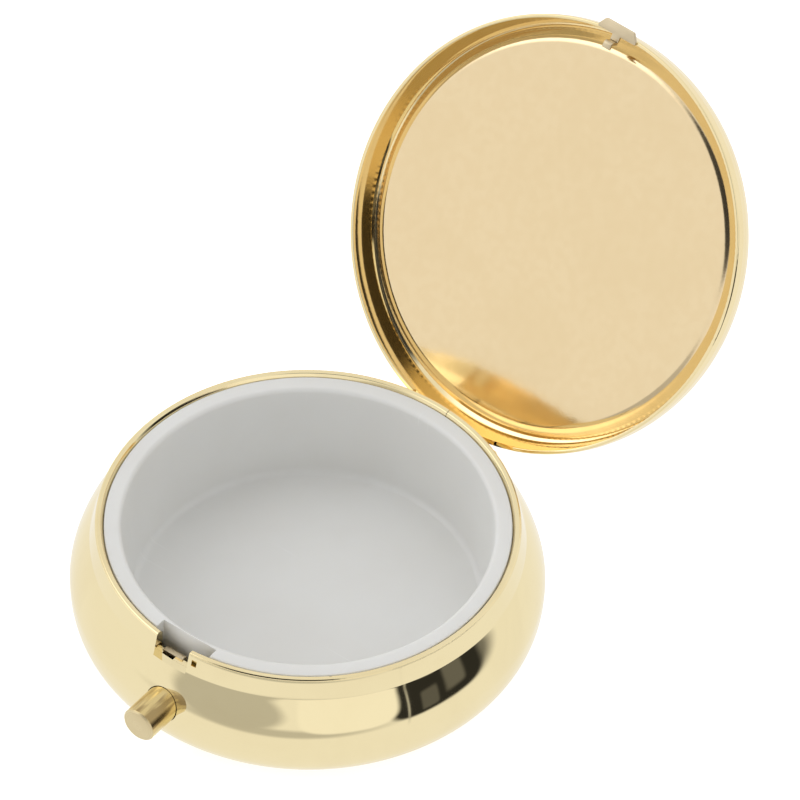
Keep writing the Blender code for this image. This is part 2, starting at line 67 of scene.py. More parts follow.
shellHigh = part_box("base_shell")[1]
ringLow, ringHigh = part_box("base_rim_ring")
trayLow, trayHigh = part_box("pill_tray")
buttonLow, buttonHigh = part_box("button_pin")
plateLow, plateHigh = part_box("catch_plate")
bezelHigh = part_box("lid_bezel")[1]

hinge = next(j for j in frame["joints"] if j["name"] == "lid_hinge")
hingeY, hingeZ = hinge["pos_m"][1] / mm, hinge["pos_m"][2] / mm
openTurn = math.radians(-max(hinge["range_deg"]))     # the lid is drawn closed and swung open by this

baseSizes = {
    "beltRadius": shellHigh.x / mm,
    "shellTop": shellHigh.z / mm,
    "rimTop": ringHigh.z / mm,
    "rimBottom": ringLow.z / mm,
    "beadRadius": ringHigh.x / mm,
    "trayRadius": trayHigh.x / mm,
    "trayTop": trayHigh.z / mm,
    "trayFoot": trayLow.z / mm,
    "buttonHeight": (buttonLow.z + buttonHigh.z) / 2 / mm,
    "lidRadius": bezelHigh.x / mm,
}
print("sizes from the frame:", {k: round(v, 2) for k, v in baseSizes.items()})


# rounded outline: each corner p is replaced by an arc of its radius r that starts r*tan(turn/2) before p
def roundedPath(corners, radii, steps=5, closed=False):
    pts = np.asarray(corners, float)
    rounded = []
    count = len(pts)
    for i in range(count):
        if (not closed and i in (0, count - 1)) or radii[i] <= 0:
            rounded.append(pts[i:i + 1])
            continue
        before, after = pts[i - 1] - pts[i], pts[(i + 1) % count] - pts[i]
        lengthBefore, lengthAfter = np.linalg.norm(before), np.linalg.norm(after)
        before, after = before / lengthBefore, after / lengthAfter
        half = math.acos(np.clip(before @ after, -1, 1)) / 2
        if half > math.pi / 2 - 0.01:
            rounded.append(pts[i:i + 1])
            continue
        reach = min(radii[i] / math.tan(half), 0.48 * lengthBefore, 0.48 * lengthAfter)
        radius = reach * math.tan(half)
        centre = pts[i] + (before + after) / np.linalg.norm(before + after) * radius / math.sin(half)
        start, end = pts[i] + before * reach - centre, pts[i] + after * reach - centre
        turn = math.pi - 2 * half
        t = np.linspace(0, 1, steps + 1)[:, None]
        rounded.append(centre + (np.sin((1 - t) * turn) * start + np.sin(t * turn) * end) / math.sin(turn))
    return np.vstack(rounded)


# the path resampled so that no stretch is longer than step: p(s) = linear between corners, s = arc length
def evenPath(path, step):
    lengths = np.linalg.norm(np.diff(path, axis=0), axis=1)
    parts = np.maximum(1, np.ceil(lengths / step).astype(int))
    knots = np.concatenate([[0], np.cumsum(parts)])
    places = np.arange(knots[-1] + 1)
    return np.stack([np.interp(places, knots, path[:, k]) for k in range(path.shape[1])], axis=1)


# new object in the scene
def newObject(name, data):
    obj = bpy.data.objects.new(name, data)
    bpy.context.scene.collection.objects.link(obj)
    return obj


# grid of points (rows, columns, 3) in mm to a mesh: quads between neighbours, wrapped where it closes
def gridObject(name, points, wrapRows=False, wrapColumns=True, capEnds=False, smoothAngle=32):
    rows, columns = points.shape[:2]
    index = np.arange(rows * columns).reshape(rows, columns)
    a = index if wrapRows else index[:-1]
    b = np.roll(index, -1, axis=0) if wrapRows else index[1:]
    if wrapColumns:
        quads = np.stack([a, np.roll(a, -1, axis=1), np.roll(b, -1, axis=1), b], axis=-1)
    else:
        quads = np.stack([a[:, :-1], a[:, 1:], b[:, 1:], b[:, :-1]], axis=-1)
    faces = quads.reshape(-1, 4).tolist()
    if capEnds:
        faces += [index[0][::-1].tolist(), index[-1].tolist()]
    mesh = bpy.data.meshes.new(name)
    mesh.from_pydata((points.reshape(-1, 3) * mm).tolist(), [], faces)
    obj = newObject(name, mesh)
    tidyMesh(obj, smoothAngle)
    return obj


# seams and poles are merged, then the faces are turned outwards and shaded smooth up to smoothAngle
def tidyMesh(obj, smoothAngle=32):
    merge = 0.002 * mm
    bm = bmesh.new()
    bm.from_mesh(obj.data)
    bmesh.ops.remove_doubles(bm, verts=bm.verts, dist=merge)
    bmesh.ops.dissolve_degenerate(bm, dist=merge / 4, edges=bm.edges)
    bmesh.ops.recalc_face_normals(bm, faces=bm.faces)
    bm.to_mesh(obj.data)
    bm.free()
    obj.data.shade_smooth()
    obj.data.set_sharp_from_angle(angle=math.radians(smoothAngle))


# turned surface: (r, z) carried round the axis, x = R cos t, y = R sin t, with R = r + swell(t, r, z)
def turnedObject(name, profile, turns, swell=None, closed=False, smoothAngle=32, place=None):
    t = np.linspace(0, math.tau, turns, endpoint=False)[None, :]
    r, z = profile[:, 0:1], profile[:, 1:2]
    radius = r + (swell(t, r, z) if swell else 0 * t)
    points = np.stack([radius * np.cos(t), radius * np.sin(t), z + 0 * t], axis=-1)
    if place is not None:
        points = place(points)
    return gridObject(name, points, wrapRows=closed, smoothAngle=smoothAngle)


# ribbon of sheet metal: p(s) = (x, y(s), z(s)) with a rounded-rectangle section, left(s)..right(s) wide
def ribbonObject(name, path, left, right, thick, edge, place=None, steps=3):
    path = np.asarray(path, float)
    along = np.gradient(path, axis=0)
    along /= np.linalg.norm(along, axis=1)[:, None]
    normal = np.stack([-along[:, 1], along[:, 0]], axis=1)
    arc = np.linspace(0, math.pi / 2, steps + 1)
    angle = np.concatenate([arc + k * math.pi / 2 for k in range(4)])[None, :]
    signX = np.repeat([1, -1, -1, 1], steps + 1)[None, :]
    signN = np.repeat([1, 1, -1, -1], steps + 1)[None, :]
    left, right = np.broadcast_to(left, len(path))[:, None], np.broadcast_to(right, len(path))[:, None]
    middle, half = (left + right) / 2, (right - left) / 2
    x = middle + signX * (half - edge) + edge * np.cos(angle)
    off = signN * (thick / 2 - edge) + edge * np.sin(angle)
    y = path[:, 0:1] + normal[:, 0:1] * off
    z = path[:, 1:2] + normal[:, 1:2] * off
    points = np.stack([x, y, z], axis=-1)
    if place is not None:
        points = place(points)
    return gridObject(name, points, capEnds=True, smoothAngle=40)


# closed lid to open lid: rotation by openTurn about the hinge axis, which runs along x
def swingOpen(points):
    y, z = points[..., 1] - hingeY, points[..., 2] - hingeZ
    c, s = math.cos(openTurn), math.sin(openTurn)
    return np.stack([points[..., 0], hingeY + y * c - z * s, hingeZ + y * s + z * c], axis=-1)


# plain box as a cutter: its eight corners are all pairings of low and high in x, y and z, mm
def boxCutter(low, high, place=None):
    corners = np.array([[x, y, z] for x in (low[0], high[0]) for y in (low[1], high[1])
                        for z in (low[2], high[2])], float)
    if place is not None:
        corners = place(corners)
    faces = [(0, 1, 3, 2), (4, 6, 7, 5), (0, 4, 5, 1), (2, 3, 7, 6), (0, 2, 6, 4), (1, 5, 7, 3)]
    mesh = bpy.data.meshes.new("cutter")
    mesh.from_pydata((corners * mm).tolist(), [], faces)
    obj = newObject("cutter", mesh)
    tidyMesh(obj)
    return obj


# the button's axis: a rod turned round z is laid along y, at the button's height
def alongY(points, y):
    return np.stack([points[..., 0], points[..., 2] + y, points[..., 1] + baseSizes["buttonHeight"]], axis=-1)


# round hole about the button's axis, from y - half to y + half
def boreCutter(radius, half, y, turns):
    profile = np.array([(0, -half), (radius, -half), (radius, half), (0, half)], float)
    return turnedObject("cutter", profile, turns, place=lambda p: alongY(p, y))


# the cutter is taken out of the piece, the result becomes the piece's own mesh
def cutAway(piece, cutter, smoothAngle=32):
    mod = piece.modifiers.new("cut", "BOOLEAN")
    mod.operation = "DIFFERENCE"
    mod.solver = "EXACT"
    mod.object = cutter
    bpy.context.view_layer.update()
    evaluated = piece.evaluated_get(bpy.context.evaluated_depsgraph_get())
    mesh = bpy.data.meshes.new_from_object(evaluated)
    piece.modifiers.clear()
    old = piece.data
    piece.data = mesh
    bpy.data.meshes.remove(old)
    mesh.name = piece.name
    bpy.data.objects.remove(cutter, do_unlink=True)
    mesh.shade_smooth()
    mesh.set_sharp_from_angle(angle=math.radians(smoothAngle))


# several meshes become one piece
def joinPieces(name, parts):
    bm = bmesh.new()
    for part in parts:
        bm.from_mesh(part.data)
    mesh = bpy.data.meshes.new(name)
    bm.to_mesh(mesh)
    bm.free()
    for part in parts:
        bpy.data.objects.remove(part, do_unlink=True)
    obj = newObject(name, mesh)
    mesh.shade_smooth()
    mesh.set_sharp_from_angle(angle=math.radians(40))
    return obj


# the piece gets its one material, rides its body and stands in for its CAD nodes
def finishPiece(piece, material, body, slot, *nodes):
    piece.data.materials.clear()
    piece.data.materials.append(material)
    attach(piece, body)
    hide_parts(*nodes)
    print("piece", piece.name, len(piece.data.polygons), "faces")
    return piece


# empty shader group: a vector and some numbers come in, numbers go out
def newGroup(name, numbers, outputs):
    group = bpy.data.node_groups.new(name, "ShaderNodeTree")
    group.interface.new_socket("Vector", in_out="INPUT", socket_type="NodeSocketVector")
    for label, value in numbers.items():
        group.interface.new_socket(label, in_out="INPUT", socket_type="NodeSocketFloat").default_value = value
    for label in outputs:
        group.interface.new_socket(label, in_out="OUTPUT", socket_type="NodeSocketFloat")
    return group, group.nodes.new("NodeGroupInput"), group.nodes.new("NodeGroupOutput")


# values go to the group's outputs in their order
def closeGroup(group, end, *values):
    for value, socket in zip(values, end.inputs):
        group.links.new(value, socket)
    return group


# inputs by label or index: a socket is linked, a number, colour or vector is set
def feed(tree, node, values):
    for label, value in values.items():
        if isinstance(value, bpy.types.NodeSocket):
            tree.links.new(value, node.inputs[label])
        elif value is not None:
            node.inputs[label].default_value = value


# one node with its settings
def addNode(tree, kind, **settings):
    node = tree.nodes.new(kind)
    for key, value in settings.items():
        setattr(node, key, value)
    return node


# math node: out = operation(a, b), numbers are set, sockets are linked
def maths(tree, operation, a, b=None, clamp=False):
    node = addNode(tree, "ShaderNodeMath", operation=operation, use_clamp=clamp)
    feed(tree, node, {0: a, 1: b})
    return node.outputs[0]


# smooth step: 0 at low, 1 at high, t*t*(3-2t) between them
def smoothStep(tree, value, low, high):
    node = addNode(tree, "ShaderNodeMapRange", interpolation_type="SMOOTHSTEP")
    feed(tree, node, {"Value": value, "From Min": low, "From Max": high})
    return node.outputs["Result"]


# noise value 0..1, scale in cells per metre
def noise(tree, vector, scale, detail=2.0, roughness=0.5, distortion=0.0):
    node = addNode(tree, "ShaderNodeTexNoise")
    feed(tree, node, {"Vector": vector, "Scale": scale, "Detail": detail, "Roughness": roughness,
                      "Distortion": distortion})
    return node.outputs["Fac"]


# vector turned by the angles in degrees after it is scaled along each axis
def stretched(tree, vector, scale, turn=(0.0, 0.0, 0.0)):
    node = addNode(tree, "ShaderNodeMapping")
    feed(tree, node, {"Vector": vector, "Scale": scale, "Rotation": [math.radians(a) for a in turn]})
    return node.outputs["Vector"]


# handling marks: hairline scratches in two directions, cloudy smudges and a few small pits
def buildHandlingMarks():
    group, start, end = newGroup("handlingMarks", {"Scratches": 0.5, "Smudges": 0.5, "Pits": 0.5},
                                 ["Scratch Mask", "Smudge Mask", "Pit Mask", "Height"])
    vector = start.outputs["Vector"]
    lines = []
    for scale, turn in (((60, 1900, 60), (20, 35, 12)), ((1700, 50, 60), (-15, 10, -38))):
        fine = noise(group, stretched(group, vector, scale, turn), 1.0, 1.0)
        lines.append(smoothStep(group, fine, 0.70, 0.80))
    where = smoothStep(group, noise(group, vector, 130.0, 2.0), 0.48, 0.66)
    scratch = maths(group, "MULTIPLY", maths(group, "MAXIMUM", *lines), where)
    scratch = maths(group, "MULTIPLY", scratch, start.outputs["Scratches"], clamp=True)
    cloud = smoothStep(group, noise(group, vector, 95.0, 4.0, 0.6, 0.6), 0.42, 0.72)
    smudge = maths(group, "MULTIPLY", cloud, start.outputs["Smudges"], clamp=True)
    cells = addNode(group, "ShaderNodeTexVoronoi", feature="F1")
    feed(group, cells, {"Vector": vector, "Scale": 260.0})
    pit = smoothStep(group, cells.outputs["Distance"], 0.055, 0.03)
    chosen = addNode(group, "ShaderNodeSeparateColor")
    group.links.new(cells.outputs["Color"], chosen.inputs["Color"])
    pit = maths(group, "MULTIPLY", pit, smoothStep(group, chosen.outputs["Red"], 0.93, 0.95))
    pit = maths(group, "MULTIPLY", pit, start.outputs["Pits"], clamp=True)
    height = maths(group, "SUBTRACT", 0.0, maths(group, "ADD", scratch, maths(group, "MULTIPLY", pit, 3.0)))
    return closeGroup(group, end, scratch, smudge, pit, height)


# sheet grain: streaks drawn out along x (rolled sheet), value and height both run 0..1
def buildSheetGrain():
    group, start, end = newGroup("sheetGrain", {"Coarse": 0.5}, ["Grain", "Height"])
    vector = start.outputs["Vector"]
    fine = noise(group, stretched(group, vector, (260, 9000, 9000)), 1.0, 3.0, 0.6)
    broad = noise(group, stretched(group, vector, (110, 1600, 1600)), 1.0, 2.0, 0.5)
    mix = addNode(group, "ShaderNodeMix", data_type="FLOAT")
    feed(group, mix, {"Factor": start.outputs["Coarse"], "A": fine, "B": broad})
    grain = smoothStep(group, mix.outputs["Result"], 0.3, 0.7)
    return closeGroup(group, end, grain, mix.outputs["Result"])


# turning marks: rings round the z axis of the given vector, value = noise(radius) with a little wander
def buildTurningMarks():
    group, start, end = newGroup("turningMarks", {"Rings": 9000.0}, ["Rings", "Height"])
    flat = stretched(group, start.outputs["Vector"], (1, 1, 0))
    length = addNode(group, "ShaderNodeVectorMath", operation="LENGTH")
    group.links.new(flat, length.inputs[0])
    wander = noise(group, start.outputs["Vector"], 700.0, 2.0)
    radius = maths(group, "ADD", length.outputs["Value"], maths(group, "MULTIPLY", wander, 0.00006))
    radius = maths(group, "MULTIPLY", radius, start.outputs["Rings"])
    rings = addNode(group, "ShaderNodeTexNoise", noise_dimensions="1D")
    feed(group, rings, {"W": radius, "Scale": 1.0})
    return closeGroup(group, end, smoothStep(group, rings.outputs["Fac"], 0.3, 0.7), rings.outputs["Fac"])


# orange peel: soft low bumps of plated sheet, with a finer pebble on top
def buildOrangePeel():
    group, start, end = newGroup("orangePeel", {"Scale": 1400.0, "Fine": 0.3}, ["Peel", "Height"])
    broad = noise(group, start.outputs["Vector"], start.outputs["Scale"], 1.0, 0.4)
    fineScale = maths(group, "MULTIPLY", start.outputs["Scale"], 4.5)
    pebble = noise(group, start.outputs["Vector"], fineScale, 2.0, 0.5)
    height = maths(group, "ADD", broad, maths(group, "MULTIPLY", pebble, start.outputs["Fine"]))
    return closeGroup(group, end, smoothStep(group, broad, 0.35, 0.65), height)


handlingMarks = buildHandlingMarks()
sheetGrain = buildSheetGrain()
turningMarks = buildTurningMarks()
orangePeel = buildOrangePeel()
print("node groups built")


# metal by default, Object coordinates for every pattern
def newMaterial(name, look):
    mat = bpy.data.materials.new(name)
    mat.use_nodes = True
    tree = mat.node_tree
    shader = tree.nodes["Principled BSDF"]
    feed(tree, shader, {"Metallic": look.get("metallic", 1.0)})
    where = addNode(tree, "ShaderNodeTexCoord")
    mat.diffuse_color = (*look["colour"], 1.0)
    return mat, tree, shader, where.outputs["Object"]


# outputs of a shader group fed with the vector and its own numbers
def placeGroup(tree, group, vector, **values):
    node = addNode(tree, "ShaderNodeGroup", node_tree=group)
    feed(tree, node, dict(values, Vector=vector))
    return node.outputs


# handling marks at the look's strengths of scratches, smudges and pits
def placeMarks(tree, vector, look):
    scratches, smudges, pits = look["marks"]
    return placeGroup(tree, handlingMarks, vector, Scratches=scratches, Smudges=smudges, Pits=pits)


# colour = a where mask is 0, b where it is 1
def blendColour(tree, mask, a, b):
    mix = addNode(tree, "ShaderNodeMix", data_type="RGBA")
    a, b = [(*colour, 1.0) if isinstance(colour, tuple) else colour for colour in (a, b)]
    feed(tree, mix, {"Factor": mask, 6: a, 7: b})
    return mix.outputs[2]


# tone to the colour, gloss = roughness + sum of mask * amount, each bump (height, mm) tilts the one before
def dress(tree, shader, look, tone, glosses, bumps):
    gloss = normal = None
    for mask, amount in glosses:
        part = maths(tree, "MULTIPLY", mask, amount)
        gloss = part if gloss is None else maths(tree, "ADD", gloss, part)
    gloss = maths(tree, "ADD", gloss, look["roughness"], clamp=True)
    for height, distance in bumps:
        bump = addNode(tree, "ShaderNodeBump")
        feed(tree, bump, {"Distance": distance * mm, "Height": height, "Normal": normal})
        normal = bump.outputs["Normal"]
    feed(tree, shader, {"Base Color": tone, "Roughness": gloss, "Normal": normal})


# point of the closed lid for a point of the open one: p' = turn(p) + (hinge - turn(hinge))
def closedLidVector(tree, vector):
    back = Matrix.Rotation(-openTurn, 3, "X")
    pivot = Vector((0, hingeY * mm, hingeZ * mm))
    node = addNode(tree, "ShaderNodeMapping")
    feed(tree, node, {"Vector": vector, "Rotation": (-openTurn, 0, 0), "Location": pivot - back @ pivot})
    return node.outputs["Vector"]


# polished plate: mirror gold with faint waviness, hairlines and smudges that only touch the gloss
def polishedGold(name, look):
    mat, tree, shader, vector = newMaterial(name, look)
    marks = placeMarks(tree, vector, look)
    peel = placeGroup(tree, orangePeel, vector, Scale=look["waveScale"], Fine=0.1)
    tone = blendColour(tree, marks["Smudge Mask"], look["colour"], look["smudgeColour"])
    tone = blendColour(tree, marks["Pit Mask"], tone, look["pitColour"])
    dress(tree, shader, look, tone,
          [(marks["Smudge Mask"], look["smudgeRoughness"]), (marks["Scratch Mask"], look["scratchRoughness"])],
          [(peel["Height"], look["wave"]), (marks["Height"], look["scratchDepth"])])
    return mat


shellLook = {
    "colour": (0.87, 0.75, 0.46),
    "smudgeColour": (0.84, 0.715, 0.43),
    "pitColour": (0.25, 0.17, 0.08),
    "roughness": 0.045,
    "smudgeRoughness": 0.05,
    "scratchRoughness": 0.12,
    "marks": (0.35, 0.6, 0.5),
    "waveScale": 260.0,
    "wave": 0.006,
    "scratchDepth": 0.0006,
}
bezelLook = {
    "colour": (0.90, 0.755, 0.445),
    "smudgeColour": (0.87, 0.72, 0.41),
    "pitColour": (0.30, 0.18, 0.07),
    "roughness": 0.06,
    "smudgeRoughness": 0.06,
    "scratchRoughness": 0.12,
    "marks": (0.4, 0.7, 0.3),
    "waveScale": 420.0,
    "wave": 0.008,
    "scratchDepth": 0.0008,
}
rimLook = {
    "colour": (0.88, 0.75, 0.455),
    "smudgeColour": (0.84, 0.70, 0.40),
    "pitColour": (0.22, 0.14, 0.06),
    "roughness": 0.06,
    "smudgeRoughness": 0.08,
    "scratchRoughness": 0.12,
    "marks": (0.4, 0.8, 0.4),
    "waveScale": 500.0,
    "wave": 0.006,
    "scratchDepth": 0.0008,
}
hingeLook = dict(rimLook, roughness=0.16, marks=(0.4, 1.0, 0.4))


# satin plate: cream gold sheet with a soft orange peel, blurred reflections and faint streaks of polishing
def satinGold(name, look):
    mat, tree, shader, vector = newMaterial(name, look)
    marks = placeMarks(tree, vector, look)
    peel = placeGroup(tree, orangePeel, vector, Scale=look["peelScale"], Fine=0.45)
    cloud = smoothStep(tree, noise(tree, closedLidVector(tree, vector), 60.0, 2.0), 0.35, 0.65)
    tone = blendColour(tree, peel["Peel"], look["colour"], look["peelColour"])
    tone = blendColour(tree, marks["Smudge Mask"], tone, look["smudgeColour"])
    dress(tree, shader, look, tone,
          [(marks["Smudge Mask"], look["smudgeRoughness"]), (cloud, look["cloudRoughness"])],
          [(peel["Height"], look["peel"]), (marks["Height"], look["scratchDepth"])])
    return mat


panelLook = {
    "colour": (0.85, 0.68, 0.42),
    "peelColour": (0.84, 0.665, 0.405),
    "smudgeColour": (0.825, 0.65, 0.39),
    "roughness": 0.12,
    "smudgeRoughness": 0.04,
    "cloudRoughness": 0.03,
    "marks": (0.25, 0.6, 0.8),
    "peelScale": 900.0,
    "peel": 0.006,
    "scratchDepth": 0.0006,
}


# turned brass: solid rod, rings on its face, drawn streaks along its side as bumps, with a painted highlight
# and a painted dark reflection in their colour
def turnedBrass(name, look):
    mat, tree, shader, vector = newMaterial(name, look)
    centred = addNode(tree, "ShaderNodeMapping")
    feed(tree, centred, {"Vector": vector, "Location": (0, -baseSizes["buttonHeight"] * mm, 0),
                         "Rotation": (math.radians(-90), 0, 0)})
    rings = placeGroup(tree, turningMarks, centred.outputs["Vector"], Rings=look["rings"])
    marks = placeMarks(tree, vector, look)
    tone = blendColour(tree, rings["Rings"], look["colour"], look["ringColour"])
    tone = blendColour(tree, marks["Smudge Mask"], tone, look["smudgeColour"])

    # streaks along the side start a little behind the end face: the bump is drawn marks, while the bright and
    # brown colours are a painted highlight and a painted dark reflection
    place = addNode(tree, "ShaderNodeSeparateXYZ")
    tree.links.new(vector, place.inputs[0])
    side = smoothStep(tree, place.outputs["Y"], buttonLow.y + 0.1 * mm, buttonLow.y + 0.3 * mm)
    drawnStreaksAndSheen = noise(tree, stretched(tree, vector, (620, 90, 620)), 1.0, 3.0, 0.6)
    paintedHighlight = maths(tree, "MULTIPLY", smoothStep(tree, drawnStreaksAndSheen, 0.5, 0.62), side)
    paintedDarkReflection = maths(tree, "MULTIPLY", smoothStep(tree, drawnStreaksAndSheen, 0.46, 0.36), side)
    tone = blendColour(tree, side, tone, look["sideColour"])
    tone = blendColour(tree, paintedHighlight, tone, look["paintedHighlightColour"])
    tone = blendColour(tree, paintedDarkReflection, tone, look["paintedDarkReflectionColour"])
    dress(tree, shader, look, tone,
          [(marks["Smudge Mask"], look["smudgeRoughness"]), (rings["Rings"], look["ringRoughness"]),
           (side, look["sideRoughness"])],
          [(rings["Height"], look["ringDepth"]), (drawnStreaksAndSheen, look["streakDepth"]),
           (marks["Height"], look["scratchDepth"])])
    return mat


buttonLook = {
    "colour": (0.76, 0.645, 0.40),
    "ringColour": (0.70, 0.58, 0.34),
    "smudgeColour": (0.68, 0.56, 0.33),
    "sideColour": (0.72, 0.56, 0.26),
    # painted highlight and painted dark reflection along the rod's side
    "paintedHighlightColour": (0.88, 0.74, 0.36),
    "paintedDarkReflectionColour": (0.40, 0.29, 0.13),
    "roughness": 0.26,
    "smudgeRoughness": 0.14,
    "ringRoughness": 0.08,
    "sideRoughness": -0.1,
    "rings": 9000.0,
    "ringDepth": 0.004,
    "streakDepth": 0.05,
    "marks": (0.9, 0.8, 0.3),
    "scratchDepth": 0.003,
}


# dull sheet: rolled brass or spring steel, grain along x, with smudges
def dullSheet(name, look):
    mat, tree, shader, vector = newMaterial(name, look)
    grain = placeGroup(tree, sheetGrain, vector, Coarse=0.35)
    marks = placeMarks(tree, vector, look)
    tone = blendColour(tree, grain["Grain"], look["colour"], look["grainColour"])
    tone = blendColour(tree, marks["Smudge Mask"], tone, look["smudgeColour"])
    dress(tree, shader, look, tone,
          [(grain["Grain"], look["grainRoughness"]), (marks["Smudge Mask"], look["smudgeRoughness"])],
          [(grain["Height"], look["grain"]), (marks["Height"], look["scratchDepth"])])
    return mat


catchLook = {
    "colour": (0.70, 0.59, 0.41),
    "grainColour": (0.66, 0.55, 0.37),
    "smudgeColour": (0.62, 0.52, 0.35),
    "roughness": 0.3,
    "smudgeRoughness": 0.1,
    "grainRoughness": 0.1,
    "grain": 0.003,
    "marks": (0.6, 0.8, 0.2),
    "scratchDepth": 0.002,
}
steelLook = {
    "colour": (0.56, 0.56, 0.54),
    "grainColour": (0.48, 0.48, 0.47),
    "smudgeColour": (0.42, 0.41, 0.38),
    "roughness": 0.28,
    "smudgeRoughness": 0.1,
    "grainRoughness": 0.1,
    "grain": 0.002,
    "marks": (0.4, 0.6, 0.1),
    "scratchDepth": 0.001,
}


# moulded plastic: off-white, slightly see-through look kept on the surface, cloudy tone, fine pebble, marks
def mouldedPlastic(name, look):
    mat, tree, shader, vector = newMaterial(name, look)
    feed(tree, shader, {"IOR": look["ior"], "Subsurface Weight": look["subsurface"],
                        "Subsurface Radius": look["subsurfaceRadius"],
                        "Subsurface Scale": look["subsurfaceDepth"] * mm})
    marks = placeMarks(tree, vector, look)
    peel = placeGroup(tree, orangePeel, vector, Scale=look["peelScale"], Fine=0.5)
    cloud = smoothStep(tree, noise(tree, vector, 70.0, 3.0, 0.55), 0.35, 0.7)
    tone = blendColour(tree, cloud, look["colour"], look["cloudColour"])
    tone = blendColour(tree, marks["Scratch Mask"], tone, look["scratchColour"])
    tone = blendColour(tree, marks["Pit Mask"], tone, look["speckColour"])
    dress(tree, shader, look, tone,
          [(marks["Smudge Mask"], look["smudgeRoughness"]), (marks["Scratch Mask"], look["scratchRoughness"])],
          [(peel["Height"], look["peel"]), (marks["Height"], look["scratchDepth"])])
    return mat


trayLook = {
    "colour": (0.785, 0.785, 0.765),
    "cloudColour": (0.765, 0.76, 0.735),
    "scratchColour": (0.82, 0.82, 0.80),
    "speckColour": (0.60, 0.55, 0.46),
    "metallic": 0.0,
    "roughness": 0.34,
    "smudgeRoughness": 0.12,
    "scratchRoughness": 0.2,
    "ior": 1.49,
    "subsurface": 0.25,
    "subsurfaceRadius": (1.0, 0.95, 0.85),
    "subsurfaceDepth": 1.2,
    "marks": (0.7, 0.8, 0.6),
    "peelScale": 900.0,
    "peel": 0.006,
    "scratchDepth": 0.002,
}

shellGold = polishedGold("polishedPaleGold", shellLook)
bezelGold = polishedGold("polishedLidGold", bezelLook)
rimGold = polishedGold("milledRimGold", rimLook)
hingeGold = polishedGold("rubbedHingeGold", hingeLook)
panelGold = satinGold("satinCreamGold", panelLook)
buttonBrass = turnedBrass("turnedButtonBrass", buttonLook)
catchBrass = dullSheet("dullCatchBrass", catchLook)
springSteel = dullSheet("rolledSpringSteel", steelLook)
trayPlastic = mouldedPlastic("offWhiteTrayPlastic", trayLook)
print("materials built")


# small window beside the gap, cut through the shell's neck and the rim, drops measured from the rim's top
window = {
    "left": 2.15,
    "right": 2.75,
    "drop": 0.62,
    "bottom": 1.35,
}
shell = {
    "wall": 0.45,
    "footInset": 5.5,  # flat underside lies this far inside the belt
    "beltHeight": 5.6,
    "lowerRoundness": 2.6,  # superellipse power from belt to foot
    "shoulderInset": 1.85,  # shoulder lies this far inside the belt
    "shoulderDrop": 0.2,
    "shoulderBend": 1.65,
    "neckInset": 0.03,  # the sheet is drawn up flush with the rim's face
    "neckLean": 0.25,  # the neck widens by this much per mm of fall
    "neckFoot": 0.187,  # it meets the belly this far over the shell's top
    "neckFillet": 0.6,
    "neckInside": 0.16,  # the neck is solid down to the ring's outer wall
    "neckGap": 0.17,  # the ring's top edge shows over the neck
    "neckStep": 0.3,
    "notchLeft": -2.6,
    "notchRight": 1.7,
    "notchFloor": 0.02,  # the neck is cut down to this height over the shoulder
    "cutFrom": 19.0,  # the cutters reach in to here
    "undersideRecess": 0.18,  # shallow pressed recess in the underside
    "recessRadius": 15.5,
    "turns": 448,
    "holeGap": 0.07,
    "slotHalf": 6.7,
    "slotBottom": 7.4,
    "stopHalf": 3.3,
    "stopBottom": 5.9,
}


# belly: r = belt - inset * rise^bend above the belt, r = foot + reach * cos(a)^(2/n) below it
def bellyOutline(s, sizes):
    belt, top = sizes["beltRadius"], sizes["shellTop"] - s["shoulderDrop"]
    z = np.linspace(top, s["beltHeight"], 42)
    upper = np.stack([belt - s["shoulderInset"] * ((z - s["beltHeight"]) / (top - s["beltHeight"]))
                      ** s["shoulderBend"], z], axis=1)
    a = np.linspace(0, math.pi / 2, 56)[1:]
    power = 2 / s["lowerRoundness"]
    lower = np.stack([belt - s["footInset"] + s["footInset"] * np.clip(np.cos(a), 0, 1) ** power,
                      s["beltHeight"] * (1 - np.sin(a) ** power)], axis=1)
    return upper, lower


# neck: R(z) = rim radius + lean * (rim top - z)
def neckRadius(z):
    return baseSizes["beadRadius"] - shell["neckInset"] + shell["neckLean"] * (baseSizes["rimTop"] - z)


